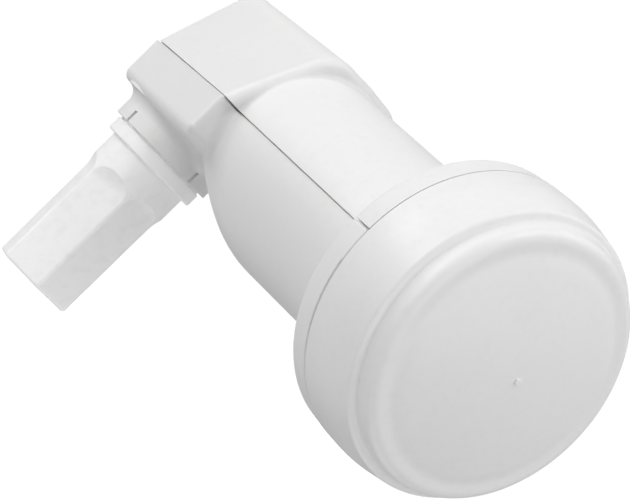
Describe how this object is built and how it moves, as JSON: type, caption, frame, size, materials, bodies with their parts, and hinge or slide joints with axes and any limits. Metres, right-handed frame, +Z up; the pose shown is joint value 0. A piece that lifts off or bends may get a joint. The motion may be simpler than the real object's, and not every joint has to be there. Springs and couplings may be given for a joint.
{
  "type": "satellite dish receiving head",
  "caption": "White receiving head of a satellite dish: capped feedhorn on a round clamp neck, wedge-shaped housing, one coaxial socket under a sliding boot.",
  "frame": {"origin": "on the horn axis, in the middle of the round neck that the dish arm's clamp holds", "axes": "-Y is the way the horn looks, +Z is up, the connector and its boot point along -Z"},
  "size_m": [0.0608, 0.1262, 0.082],
  "materials": {
    "housing_plastic": "fine satin texture",
    "radome_plastic": "smooth satin",
    "boot_plastic": "translucent, frosted",
    "cast_metal": "as cast, machined where it seals",
    "seal_rubber": "matt",
    "gasket_rubber": "matt, silver filled",
    "tinned_metal": "bright tin",
    "probe_metal": "gold plated",
    "contact_metal": "gold plated",
    "ptfe": "waxy",
    "board_laminate": "woven laminate with tracks",
    "chip_package": "moulded epoxy",
    "capacitor_ceramic": "fired ceramic",
    "resonator_ceramic": "fired ceramic",
    "screw_steel": "zinc plated",
    "screw_brass": "turned",
    "nickel_plate": "nickel plate"
  },
  "bodies": {
    "housing": {"radome_cap": "radome_plastic", "upper_shell": "housing_plastic", "lower_shell": "housing_plastic", "feedhorn_casting": "cast_metal", "horn_seal_ring": "seal_rubber", "f_connector_seal": "seal_rubber", "polarizer_post": "tinned_metal", "vertical_probe": "probe_metal", "horizontal_probe": "probe_metal", "probe_bush": "ptfe", "f_connector_insulator": "ptfe", "circuit_board": "board_laminate", "hemt_amplifiers": "chip_package", "downconverter_chip": "chip_package", "voltage_regulator": "chip_package", "chip_capacitors": "capacitor_ceramic", "dielectric_resonators": "resonator_ceramic", "shield_lid": "cast_metal", "shield_gasket": "gasket_rubber", "shield_screws": "screw_steel", "tuning_screws": "screw_brass", "f_connector_body": "nickel_plate", "f_connector_contact": "contact_metal"},
    "boot": {"weather_boot": "boot_plastic"}
  },
  "joints": [
    {"name": "boot_slide", "type": "slide", "parent": "housing", "child": "boot", "axis": [0, 0, -1], "range_m": [0, 0.04]}
  ]
}
